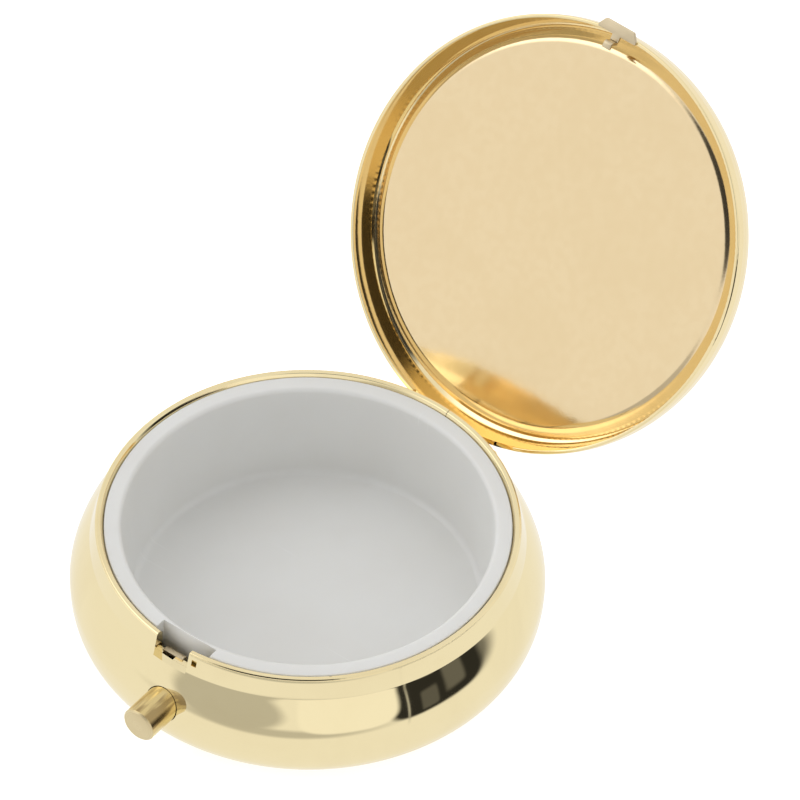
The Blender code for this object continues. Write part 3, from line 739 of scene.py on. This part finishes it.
# shell: inner wall = belly moved in along its normal by the wall, outside = neck, belly, foot and recess
def makeShell(s, sizes):
    upper, lower = bellyOutline(s, sizes)
    top = sizes["shellTop"]
    neckTop = sizes["rimTop"] - s["neckGap"]
    neckFoot, inside = top + s["neckFoot"], sizes["beadRadius"] - s["neckInside"]
    neck = [(inside, top - 0.9), (inside, neckTop - 0.25), (neckRadius(neckTop) - 0.08, neckTop),
            (neckRadius(neckTop), neckTop - 0.02), (neckRadius(neckFoot), neckFoot), tuple(upper[1])]
    neck = evenPath(roundedPath(neck, [0, 0.05, 0.03, 0.03, s["neckFillet"], 0], 4), s["neckStep"])
    foot = lower[-1, 0]
    recess = [(foot, 0.0), (s["recessRadius"] + 0.6, 0.0), (s["recessRadius"], s["undersideRecess"]),
              (0.0, s["undersideRecess"])]
    recess = evenPath(roundedPath(recess, [0, 0.5, 0.5, 0], 5), 1.4)
    outer = np.vstack([neck, upper[2:], lower, recess[1:]])
    belly = np.vstack([upper, lower])
    step = np.gradient(belly, axis=0)
    step /= np.linalg.norm(step, axis=1)[:, None]
    inner = belly + s["wall"] * np.stack([step[:, 1], -step[:, 0]], axis=1)
    inner = inner[(inner[:, 1] > s["wall"] + 0.05) & (inner[:, 1] < top - 1.3) & (inner[:, 0] > foot)]
    inside = np.vstack([[(0.0, s["wall"]), (foot, s["wall"])], inner[::-3]])
    piece = turnedObject("baseShell", np.vstack([inside, outer]), s["turns"])
    bore = (buttonHigh.x - buttonLow.x) / 2 / mm + s["holeGap"]
    cutAway(piece, boreCutter(bore, 8, -sizes["beltRadius"], 96))
    near, far = s["cutFrom"], sizes["beltRadius"] + 4
    cutAway(piece, boxCutter((-s["slotHalf"], near, s["slotBottom"]), (s["slotHalf"], far, 20.0)))
    cutAway(piece, boxCutter((-s["stopHalf"], near, s["stopBottom"]),
                             (s["stopHalf"], far, s["slotBottom"] + 0.5)))
    cutAway(piece, boxCutter((s["notchLeft"], -far, top + s["notchFloor"]),
                             (s["notchRight"], -near, top + 4)))
    rimTop = sizes["rimTop"]
    cutAway(piece, boxCutter((window["left"], -far, rimTop - window["bottom"]),
                             (window["right"], -near, rimTop - window["drop"])))
    return piece


finishPiece(makeShell(shell, baseSizes), shellGold, "base", "pale_gold", "base_shell")


rim = {
    "wall": 0.82,
    "chamfer": 0.26,  # the inner edge falls away towards the tray
    "chamferDrop": 0.42,
    "edgeRound": 0.13,
    "teeth": 216,  # fine milling on the outer top edge, about 0.65 mm from ridge to ridge
    "toothDepth": 0.035,
    "toothHeight": 0.2,
    "turns": 864,
    "notchLeft": -2.6,
    "notchRight": 1.7,
    "notchDepth": 2.58,
    "keeperLeft": -2.05,
    "keeperRight": -0.55,
    "keeperDepth": 3.7,
    "seamX": 1.5,  # butt joint of the rolled ring, at the back
    "seamWidth": 0.07,
}


# ring: closed outline (r, z) turned round the axis, then cut for the gap, the keeper, the window and the seam
def makeRim(s, sizes):
    outside, top, bottom = sizes["beadRadius"] - 0.02, sizes["rimTop"], sizes["rimBottom"]
    inside = outside - s["wall"]
    corners = [(inside, bottom), (inside, top - s["chamferDrop"]), (inside + s["chamfer"], top - 0.03),
               (outside - 0.12, top), (outside, top - 0.12), (outside + 0.01, top - 0.22),
               (outside - 0.12, top - 0.34), (outside - 0.15, top - 0.6), (outside - 0.15, bottom)]
    profile = roundedPath(corners, [0.08, 0.1, 0.12, s["edgeRound"], 0.06, 0.02, 0.02, 0.1, 0.08], 6,
                          closed=True)
    profile = evenPath(np.vstack([profile, profile[:1]]), 0.25)[:-1]

    # ridges: depth * (cos(teeth * t) - 1) / 2, fading out below the top edge
    def ridges(t, r, z):
        high = np.clip((z - top + s["toothHeight"]) / s["toothHeight"], 0, 1)
        outer = np.clip((r - outside + 0.16) / 0.14, 0, 1)
        wander = 0.55 + 0.3 * np.sin(t - 0.6) + 0.15 * np.sin(7 * t + 1.3) * np.sin(3 * t)
        return s["toothDepth"] * high * outer * wander * (np.cos(s["teeth"] * t) - 1) / 2

    piece = turnedObject("baseRimRing", profile, s["turns"], swell=ridges, closed=True, smoothAngle=50)
    far, near = -outside - 3, -18.0
    cutAway(piece, boxCutter((s["notchLeft"], far, top - s["notchDepth"]),
                             (s["notchRight"], near, top + 2)), 50)
    cutAway(piece, boxCutter((s["keeperLeft"], far, top - s["keeperDepth"]),
                             (s["keeperRight"], near, top - s["notchDepth"] + 0.5)), 50)
    cutAway(piece, boxCutter((window["left"], far, top - window["bottom"]),
                             (window["right"], near, top - window["drop"])), 50)
    cutAway(piece, boxCutter((s["seamX"], 18.0, top - 1.6), (s["seamX"] + s["seamWidth"], -far, top + 2)), 50)
    return piece


finishPiece(makeRim(rim, baseSizes), rimGold, "base", "milled_gold", "base_rim_ring")


tray = {
    "landWidth": 1.6,
    "landReach": 0.24,  # the land meets the rim's inner wall
    "landThick": 1.3,
    "draft": 1.02,
    "floorThick": 1.01,
    "wall": 1.1,
    "edgeRound": 0.55,
    "floorRound": 0.8,
    "ringRadius": 3.3,  # faint circle left by the mould's ejector
    "ringOffset": (-2.6, 7.4),
    "ringDepth": 0.03,
    "ringWidth": 0.45,
    "pocketHalf": 3.5,
    "pocketBottom": 7.6,
    "pocketWeb": 0.35,
    "turns": 384,
}


# tray: outline (r, z) from the floor's middle over the land and back under the floor, turned round the axis
def makeTray(s, sizes):
    outside, top, foot = sizes["trayRadius"] + s["landReach"], sizes["trayTop"], sizes["trayFoot"]
    land = sizes["trayRadius"] - s["landWidth"]
    floorRadius, floor = land - s["draft"], foot + s["floorThick"]
    under = top - s["landThick"]
    corners = [(0.0, floor), (floorRadius, floor), (land, top), (outside, top), (outside, under),
               (land + s["wall"] - 0.3, under - 0.3), (floorRadius + s["wall"], foot + 0.6),
               (floorRadius + s["wall"] - 0.6, foot), (0.0, foot)]
    radii = [0, s["floorRound"], s["edgeRound"], 0.16, 0.1, 0.3, 0.5, 0.4, 0]
    profile = evenPath(roundedPath(corners, radii, 9), 0.7)
    piece = turnedObject("pillTray", profile, s["turns"], smoothAngle=40)

    # ejector circle: z drops by depth * exp(-((d - radius) / width)^2), d measured from its centre
    mesh = piece.data
    co = np.empty(len(mesh.vertices) * 3)
    mesh.vertices.foreach_get("co", co)
    co = co.reshape(-1, 3)
    distance = np.hypot(co[:, 0] / mm - s["ringOffset"][0], co[:, 1] / mm - s["ringOffset"][1])
    inBowl = np.abs(co[:, 2] / mm - floor) < 0.05
    groove = np.exp(-((distance[inBowl] - s["ringRadius"]) / s["ringWidth"]) ** 2)
    co[inBowl, 2] -= mm * s["ringDepth"] * groove
    mesh.vertices.foreach_set("co", co.ravel())
    pocketY = -land - s["pocketWeb"]
    cutAway(piece, boxCutter((-s["pocketHalf"], -outside - 3, s["pocketBottom"]),
                             (s["pocketHalf"], pocketY, top + 3)), 40)
    return piece


finishPiece(makeTray(tray, baseSizes), trayPlastic, "base", "tray_plastic", "pill_tray")


button = {
    "chamfer": 0.2,
    "shankRadius": 0.65,
    "rivetRadius": 1.0,
    "rivetHeight": 0.3,
    "shankLength": 0.62,
}


# the rod's profile (r, d) is measured from its outer end inwards and turned round the y axis
def makeButton(s):
    outer, inner = buttonLow.y / mm, buttonHigh.y / mm
    length, radius = inner - outer, (buttonHigh.x - buttonLow.x) / 2 / mm
    neck, rivet = length - s["rivetHeight"] - s["shankLength"], length - s["rivetHeight"]
    corners = [(0, 0), (radius - s["chamfer"], 0), (radius, s["chamfer"]), (radius, neck),
               (s["shankRadius"], neck), (s["shankRadius"], rivet), (s["rivetRadius"], rivet),
               (s["rivetRadius"], length), (0, length)]
    profile = roundedPath(corners, [0, 0.07, 0.07, 0.05, 0.03, 0.03, 0.04, 0.14, 0], 4)
    return turnedObject("buttonPin", evenPath(profile, 0.5), 128, smoothAngle=30,
                        place=lambda p: alongY(p, outer))


catchSheet = {
    "thick": 0.35,
    "bend": 0.42,  # inside-to-middle bend radius of the folded sheet
    "edge": 0.06,
    "noseRight": 0.35,
    "noseReach": 0.95,
    "shankHole": 0.8,
}


# folded sheet: leg up, jog inwards, riser up, nose outwards; the riser and nose are narrower than the leg
def makeCatch(s, sizes):
    t = s["thick"] / 2
    legY, bottom = plateLow.y / mm + t, plateLow.z / mm
    top, riserY = plateHigh.z / mm - t, plateHigh.y / mm - t
    noseY = riserY - s["noseReach"] + t
    jog = sizes["rimBottom"] - 0.25 - t
    corners = [(legY, bottom), (legY, jog), (riserY, jog), (riserY, top), (noseY, top)]
    path = evenPath(roundedPath(corners, [0, s["bend"], s["bend"], s["bend"], 0], 7), 0.3)
    left, right = plateLow.x / mm, plateHigh.x / mm
    high = np.clip((path[:, 1] - jog - 0.35) / 0.12, 0, 1)
    rightEdge = right + (s["noseRight"] - right) * high * (path[:, 0] > legY + 0.5)
    piece = ribbonObject("catchPlate", path, left, rightEdge, s["thick"], s["edge"])
    cutAway(piece, boreCutter(s["shankHole"], 1, legY, 48), 40)
    return piece


finishPiece(makeButton(button), buttonBrass, "latch", "button_brass", "button_pin")
finishPiece(makeCatch(catchSheet, baseSizes), catchBrass, "latch", "catch_brass", "catch_plate")


lid = {
    "edgeOverAxis": 3.15,  # closed lid's edge plane over the hinge axis
    "edgeWall": 0.4,
    "taper": 0.64,
    "ledgeDepth": 3.4,
    "crestDepth": 4.25,
    "crestWidth": 0.65,
    "turns": 1000,
    "edgeTeeth": 200,  # fine milling along the very edge
    "edgeToothDepth": 0.06,
    "edgeToothHeight": 0.2,
    "reliefHalf": 6.7,
    "reliefDepth": 0.45,
}
panel = {
    "flatRadius": 20.34,
    "flatDepth": 2.23,
    "rimRadius": 21.85,
    "rimDepth": 3.42,
    "thick": 0.3,
    "stepRound": 1.6,
    "turns": 800,
    "rimTeeth": 200,  # the panel's rim is finely serrated where it is crimped in
    "rimToothDepth": 0.03,
    "sag": 0.5,  # the sheet sinks this much towards the hinge
    "sagStart": 8.0,
}


# bezel: closed outline (r, d), d measured inwards from the edge's plane, turned and then swung open
def makeBezel(s, sizes):
    outside = sizes["lidRadius"]
    edge = outside - s["edgeWall"]
    ledge = edge - s["taper"]
    plane = hingeZ + s["edgeOverAxis"]
    corners = [(edge, 0.02), (outside - 0.1, 0.0), (outside, 0.14), (outside, 1.15), (outside - 0.15, 2.2),
               (outside - 0.44, 3.25), (ledge, 3.95), (ledge - 0.6, s["crestDepth"]),
               (ledge - 0.6 - s["crestWidth"], s["crestDepth"]), (ledge - 1.25, 4.02), (ledge - 0.1, 3.5),
               (ledge, s["ledgeDepth"]), (ledge + 0.14, s["ledgeDepth"] - 0.75)]
    radii = [0.08, 0.06, 0.1, 0.6, 1.2, 1.0, 0.6, 0.3, 0.1, 0.1, 0.05, 0.05, 0.4]
    profile = roundedPath(corners, radii, 5, closed=True)
    profile = evenPath(np.vstack([profile, profile[:1]]), 0.5)[:-1]

    # milled edge: the inner corner steps out by depth * (1 + cos(teeth * t)) / 2, fading inwards
    def ridges(t, r, d):
        shallow = np.clip(1 - d / s["edgeToothHeight"], 0, 1)
        middle = 1 - np.abs(np.clip((r - edge) / (outside - edge), 0, 1) * 2 - 1)
        side = np.clip(1 - (r - edge) / 0.25, 0, 1)
        stronger = 0.2 + 0.8 * np.clip(np.cos(t + 0.3), 0, 1)
        wander = stronger * (0.45 + 0.55 * np.sin(23 * t + 2 * np.sin(5 * t)))
        teeth = (1 + np.cos(s["edgeTeeth"] * t)) / 2
        return s["edgeToothDepth"] * shallow * np.maximum(side, middle * 0.3) * wander * teeth

    piece = turnedObject("lidBezel", profile, s["turns"], swell=ridges, closed=True, smoothAngle=50,
                         place=lambda p: swingOpen(p + (0, 0, plane)))
    cutAway(piece, boxCutter((-s["reliefHalf"], 15, plane - 1),
                             (s["reliefHalf"], 30, plane + s["reliefDepth"]), swingOpen), 50)
    return piece


# panel: flat sheet, rounded step and serrated rim as one outline (r, d), turned and swung open
def makePanel(s):
    plane = hingeZ + lid["edgeOverAxis"]
    t = s["thick"]
    corners = [(0.0, s["flatDepth"]), (s["flatRadius"] + 0.4, s["flatDepth"]), (s["flatRadius"] + 1.25, 3.1),
               (s["rimRadius"], s["rimDepth"] - 0.1), (s["rimRadius"], s["rimDepth"]),
               (s["flatRadius"] + 0.95, 3.1 + t * 0.9), (s["flatRadius"] + 0.2, s["flatDepth"] + t),
               (0.0, s["flatDepth"] + t)]
    profile = evenPath(roundedPath(corners, [0, s["stepRound"], 0.5, 0.04, 0.04, 0.5, 0.5, 0], 9), 0.9)

    # serrated rim: depth * (cos(teeth * t) - 1) / 2 on the last 0.2 mm of the rim
    def ridges(t, r, d):
        rimmed = np.clip((r - s["rimRadius"] + 0.2) / 0.2, 0, 1)
        return s["rimToothDepth"] * rimmed * (np.cos(s["rimTeeth"] * t) - 1) / 2

    # sag: d grows by sag * u^2 where u runs from 0 at sagStart to 1 at the rim on the hinge side
    def sagged(points):
        u = np.clip((points[..., 1] - s["sagStart"]) / (s["rimRadius"] - s["sagStart"]), 0, 1)
        return np.stack([points[..., 0], points[..., 1], points[..., 2] + s["sag"] * u * u + plane], axis=-1)

    return turnedObject("lidPanel", profile, s["turns"], swell=ridges, smoothAngle=40,
                        place=lambda p: swingOpen(sagged(p)))


# plate under the lid's edge, left and right of its middle, and the keeper folded down from it
tab = {
    "thick": 0.35,
    "edge": 0.07,
    "reach": 0.75,
    "tipInset": 0.6,
    "tipSlope": 0.9,
    "rootOverlap": 0.08,
    "keeperHalf": 0.5,
    "keeperThick": 0.3,
    "keeperFace": 21.95,
    "keeperDrop": 1.37,
    "nibFace": 21.27,
}


# rounded plate: the outline (x, y) is drawn in by edge * (1 - sin a) where it turns into top and bottom
def makeTab(s, sizes):
    low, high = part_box("lid_tab")
    plane = hingeZ + lid["edgeOverAxis"]
    middle, half = (low.x + high.x) / 2 / mm, (high.x - low.x) / 2 / mm
    inner = -(sizes["lidRadius"] - lid["edgeWall"]) + s["rootOverlap"]
    outer = -sizes["lidRadius"] - s["reach"]
    neck = -s["keeperFace"] - s["keeperThick"] / 2
    corners = [(-half, inner), (-half, outer + s["tipSlope"]), (-half + s["tipInset"], outer),
               (half - s["tipInset"], outer), (half, outer + s["tipSlope"]), (half, inner),
               (s["keeperHalf"], inner), (s["keeperHalf"], neck), (-s["keeperHalf"], neck),
               (-s["keeperHalf"], inner)]
    outline = roundedPath(corners, [0.12, 0.5, 0.35, 0.35, 0.5, 0.12, 0.1, 0.05, 0.05, 0.1], 8, closed=True)
    along = np.roll(outline, -1, axis=0) - np.roll(outline, 1, axis=0)
    along /= np.linalg.norm(along, axis=1)[:, None]
    inward = np.stack([-along[:, 1], along[:, 0]], axis=1)
    a = np.linspace(0, math.pi / 2, 5)
    inset = np.concatenate([s["edge"] * (1 - np.sin(a)), s["edge"] * (1 - np.sin(a[::-1]))])
    height = np.concatenate([s["edge"] * (1 - np.cos(a)), s["thick"] - s["edge"] * (1 - np.cos(a[::-1]))])
    plate = outline[None] + inset[:, None, None] * inward[None]
    z = np.broadcast_to(height[:, None] + plane - s["thick"], plate.shape[:2])
    points = np.stack([plate[..., 0] + middle, plate[..., 1], z], axis=-1)
    plateObject = gridObject("tabPlate", swingOpen(points), capEnds=True, smoothAngle=40)
    path = [(-s["keeperFace"], plane - s["thick"] * 0.6), (-s["keeperFace"], plane - s["keeperDrop"]),
            (-s["nibFace"], plane - s["keeperDrop"])]
    path = evenPath(roundedPath(path, [0, 0.25, 0], 6), 0.3)
    keeper = ribbonObject("tabKeeper", path, middle - s["keeperHalf"], middle + s["keeperHalf"],
                          s["keeperThick"], 0.05, place=swingOpen)
    return joinPieces("lidTab", [plateObject, keeper])


finishPiece(makeBezel(lid, baseSizes), bezelGold, "lid", "pale_gold", "lid_bezel")
finishPiece(makePanel(panel), panelGold, "lid", "satin_gold", "lid_panel")
finishPiece(makeTab(tab, baseSizes), catchBrass, "lid", "catch_brass", "lid_tab")

# carried-over pieces take a better material through their own slots
for node, material in (("catch_spring", springSteel), ("hinge_pin", springSteel),
                       ("hinge_base_leaf", hingeGold), ("hinge_lid_leaf", hingeGold)):
    obj = frame["nodes"][node]
    for i in range(len(obj.material_slots)):
        obj.material_slots[i].material = material
print("object built")


studio = {
    "floorRadius": 900.0,
    "floorColour": (0.90, 0.90, 0.90),
    "floorGlow": 0.62,
    "domeLow": 0.98,  # brightness near the horizon and below it
    "domeHigh": 0.92,  # brightness overhead
    "domeRise": (15.0, 50.0),
    # soft cards round the box: middle azimuth, half width, lowest and highest elevation, corner power,
    # softness, brightness (azimuth 0 looks out along -y, 90 along +x)
    "cards": [
        (-62, 34, 26, 66, 2.4, 0.3, 1.9),
        (21, 36, 33, 73, 3.0, 0.14, 0.05),
        (22, 46, -17, -8, 2.0, 0.5, 0.6),
        (3, 25, -14, 20, 1.9, 0.14, 0.58),
        (112, 16, -12, 16, 2.2, 0.35, 0.2),
        (97, 23, -14, 17, 5.0, 0.1, 0.03),
        (92, 4, -11, 3, 7.0, 0.2, 0.12),
        (105, 5, -7, 9, 7.0, 0.25, 0.15),
        (82, 0.5, -14, 11, 8.0, 0.8, 0.5),
        (56, 22, -12, 30, 3.6, 0.07, 1.05),
    ],
}


# floor: flat disc of rings just under the box, it lights the box a little but is kept out of its reflections
def makeFloor(s):
    t = np.linspace(0, math.tau, 96, endpoint=False)[None, :]
    r = np.array([0.0, 60.0, 200.0, s["floorRadius"]])[:, None]
    points = np.stack([r * np.cos(t), r * np.sin(t), cadLow.z / mm - 0.02 + 0 * r * t], axis=-1)
    floor = gridObject("studioFloor", points)
    mat = bpy.data.materials.new("paleFloor")
    mat.use_nodes = True
    shader = mat.node_tree.nodes["Principled BSDF"]
    feed(mat.node_tree, shader, {"Base Color": (*s["floorColour"], 1.0), "Roughness": 1.0,
                                 "Specular IOR Level": 0.0, "Emission Color": (1.0, 1.0, 1.0, 1.0),
                                 "Emission Strength": s["floorGlow"]})
    floor.data.materials.append(mat)
    floor.visible_glossy = False


# soft dome: white all round, each card where (|u|^n + |v|^n)^(1/n) < 1 in its own azimuth and elevation
def makeDome(s):
    world = bpy.data.worlds.new("softDome")
    bpy.context.scene.world = world
    world.use_nodes = True
    tree = world.node_tree
    tree.nodes.clear()
    out = addNode(tree, "ShaderNodeOutputWorld")
    background = addNode(tree, "ShaderNodeBackground")
    tree.links.new(background.outputs[0], out.inputs["Surface"])
    direction = addNode(tree, "ShaderNodeSeparateXYZ")
    where = addNode(tree, "ShaderNodeTexCoord")
    tree.links.new(where.outputs["Generated"], direction.inputs[0])
    x, y, z = direction.outputs
    degrees = 180 / math.pi
    azimuth = maths(tree, "ARCTAN2", x, maths(tree, "SUBTRACT", 0.0, y))
    azimuth = maths(tree, "MULTIPLY", azimuth, degrees)
    elevation = maths(tree, "MULTIPLY", maths(tree, "ARCSINE", z), degrees)
    rise = smoothStep(tree, elevation, *s["domeRise"])
    colour = blendColour(tree, rise, (s["domeLow"],) * 3, (s["domeHigh"],) * 3)
    for middle, half, low, high, power, soft, light in s["cards"]:
        across = maths(tree, "DIVIDE", maths(tree, "SUBTRACT", azimuth, float(middle)), float(half))
        upward = maths(tree, "SUBTRACT", elevation, (low + high) / 2)
        upward = maths(tree, "DIVIDE", upward, (high - low) / 2)
        sides = [maths(tree, "POWER", maths(tree, "ABSOLUTE", v), float(power)) for v in (across, upward)]
        distance = maths(tree, "POWER", maths(tree, "ADD", *sides), 1 / power)
        mask = smoothStep(tree, distance, 1 + soft, 1 - soft)
        colour = blendColour(tree, mask, colour, (light, light, light))
    tree.links.new(colour, background.inputs["Color"])


makeFloor(studio)
makeDome(studio)
bpy.context.scene.view_settings.view_transform = "Standard"
print("studio built")


shot = {
    "azimuth": 37.3,
    "elevation": 46.7,
    "roll": 0.93,
    "distance": 2500.0,
    "widthSeen": 83.85,  # width of the view at the object, mm
    "right": 9.62,  # the view's middle lies this far right of the rim's centre
    "up": 12.97,  # and this far above it, along the view's own up
}


# camera: the view axis from azimuth and elevation, lens = sensor * distance / width seen
def makeCamera(s):
    a, e, k = (math.radians(s[key]) for key in ("azimuth", "elevation", "roll"))
    back = Vector((math.sin(a) * math.cos(e), -math.cos(a) * math.cos(e), math.sin(e)))
    right = Vector((math.cos(a), math.sin(a), 0))
    up = back.cross(right)
    rightRolled = right * math.cos(k) + up * math.sin(k)
    upRolled = up * math.cos(k) - right * math.sin(k)
    rimCentre = Vector((0, 0, baseSizes["rimTop"]))
    aim = rimCentre + rightRolled * s["right"] + upRolled * s["up"]
    data = bpy.data.cameras.new("shotCamera")
    data.sensor_width = 36.0
    data.lens = 36.0 * s["distance"] / s["widthSeen"]
    data.clip_start, data.clip_end = 0.1, 10.0
    camera = newObject("shotCamera", data)
    turn = Matrix((rightRolled, upRolled, back)).transposed().to_4x4()
    camera.matrix_world = Matrix.Translation((aim + back * s["distance"]) * mm) @ turn
    bpy.context.scene.camera = camera


makeCamera(shot)
print("camera placed")
